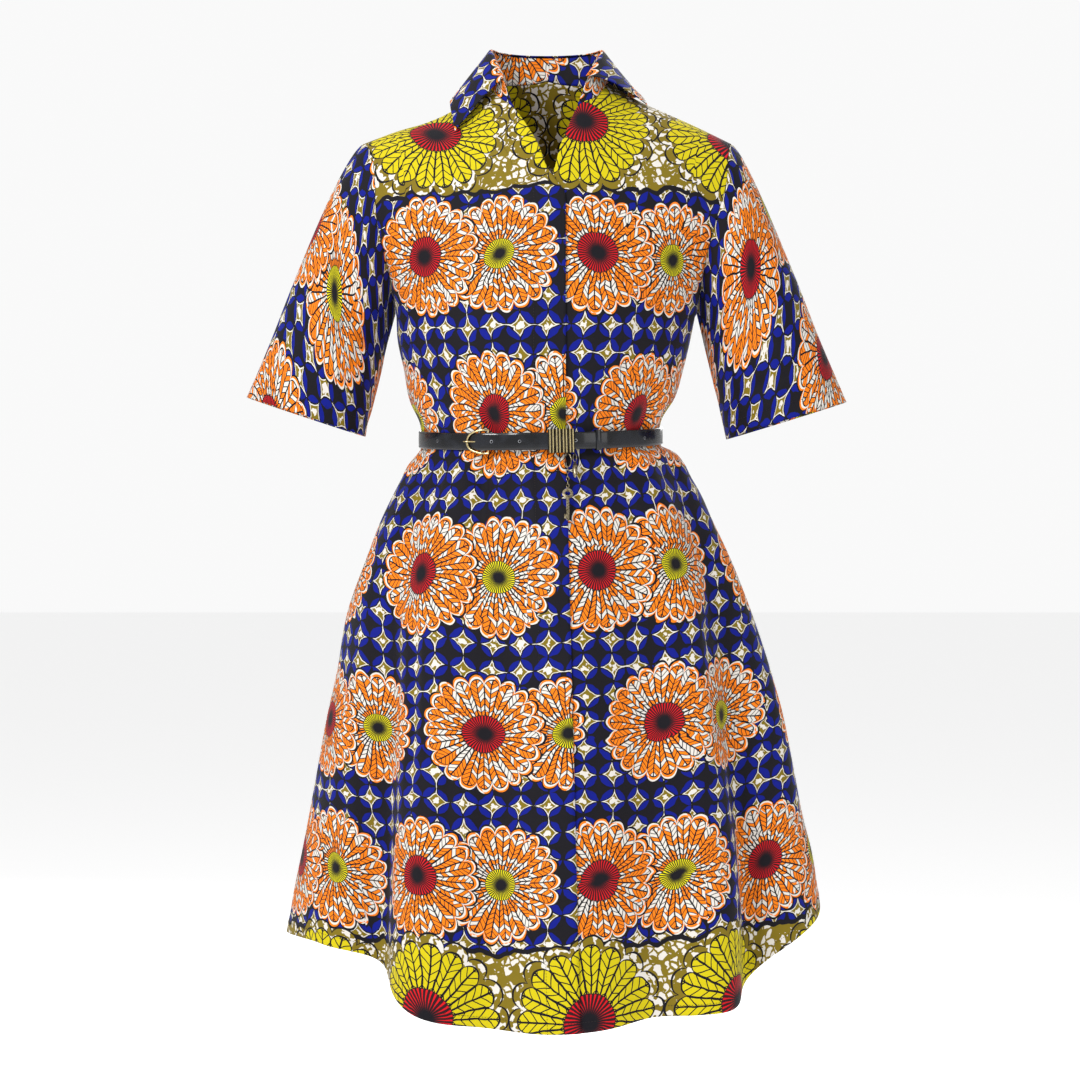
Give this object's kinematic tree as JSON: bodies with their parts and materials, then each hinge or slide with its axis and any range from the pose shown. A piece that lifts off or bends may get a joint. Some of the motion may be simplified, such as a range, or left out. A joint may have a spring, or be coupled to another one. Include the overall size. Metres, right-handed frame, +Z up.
{
  "type": "ankara wax print shirt dress",
  "caption": "Knee-length shirt dress in wax-print cotton with an open collar, short flared sleeves, a shirt-tail hem and a thin charm belt, in its worn, hollow form",
  "frame": {"origin": "midway between the shoulders, where the wearer holds the dress up", "axes": "+Z up, the front faces -Y, +X is the wearer's left"},
  "size_m": [0.641, 0.4326, 1.0203],
  "materials": {
    "wax_print_cotton": "plain-weave cotton, wax printed in orange, red, ochre, blue, black and white, soft low sheen",
    "patent_leather": "black patent leather, stitched along both edges",
    "pale_gold": "pale gold plating, polished",
    "aged_metal": "aged gold and silver plating, rubbed bright on the edges"
  },
  "bodies": {
    "dress": {"front_right": "wax_print_cotton", "front_left": "wax_print_cotton", "back": "wax_print_cotton", "sleeve_right": "wax_print_cotton", "sleeve_left": "wax_print_cotton", "collar_stand": "wax_print_cotton", "collar_fall": "wax_print_cotton", "belt_strap": "patent_leather", "belt_keeper": "patent_leather", "buckle_frame": "pale_gold", "buckle_prong": "pale_gold", "belt_slide": "pale_gold"},
    "ring": {"charm_ring": "aged_metal"},
    "chain": {"charm_chain": "aged_metal"},
    "key": {"charm_key": "aged_metal"},
    "leaf": {"charm_leaf": "aged_metal"}
  },
  "joints": [
    {"name": "ring_lift", "type": "hinge", "parent": "dress", "child": "ring", "pos_m": [0.02093, -0.10754, -0.35801], "axis": [-1, 0, 0], "range_deg": [0, 70]},
    {"name": "chain_sway", "type": "hinge", "parent": "ring", "child": "chain", "pos_m": [0.02093, -0.11505, -0.37213], "axis": [0, -0.8829, 0.4695], "range_deg": [-20, 6]},
    {"name": "key_lift", "type": "hinge", "parent": "chain", "child": "key", "pos_m": [0.02093, -0.12827, -0.39699], "axis": [-1, 0, 0], "range_deg": [0, 35]},
    {"name": "leaf_lift", "type": "hinge", "parent": "dress", "child": "leaf", "pos_m": [0.02848, -0.10633, -0.3578], "axis": [-1, 0, 0], "range_deg": [0, 60]}
  ]
}
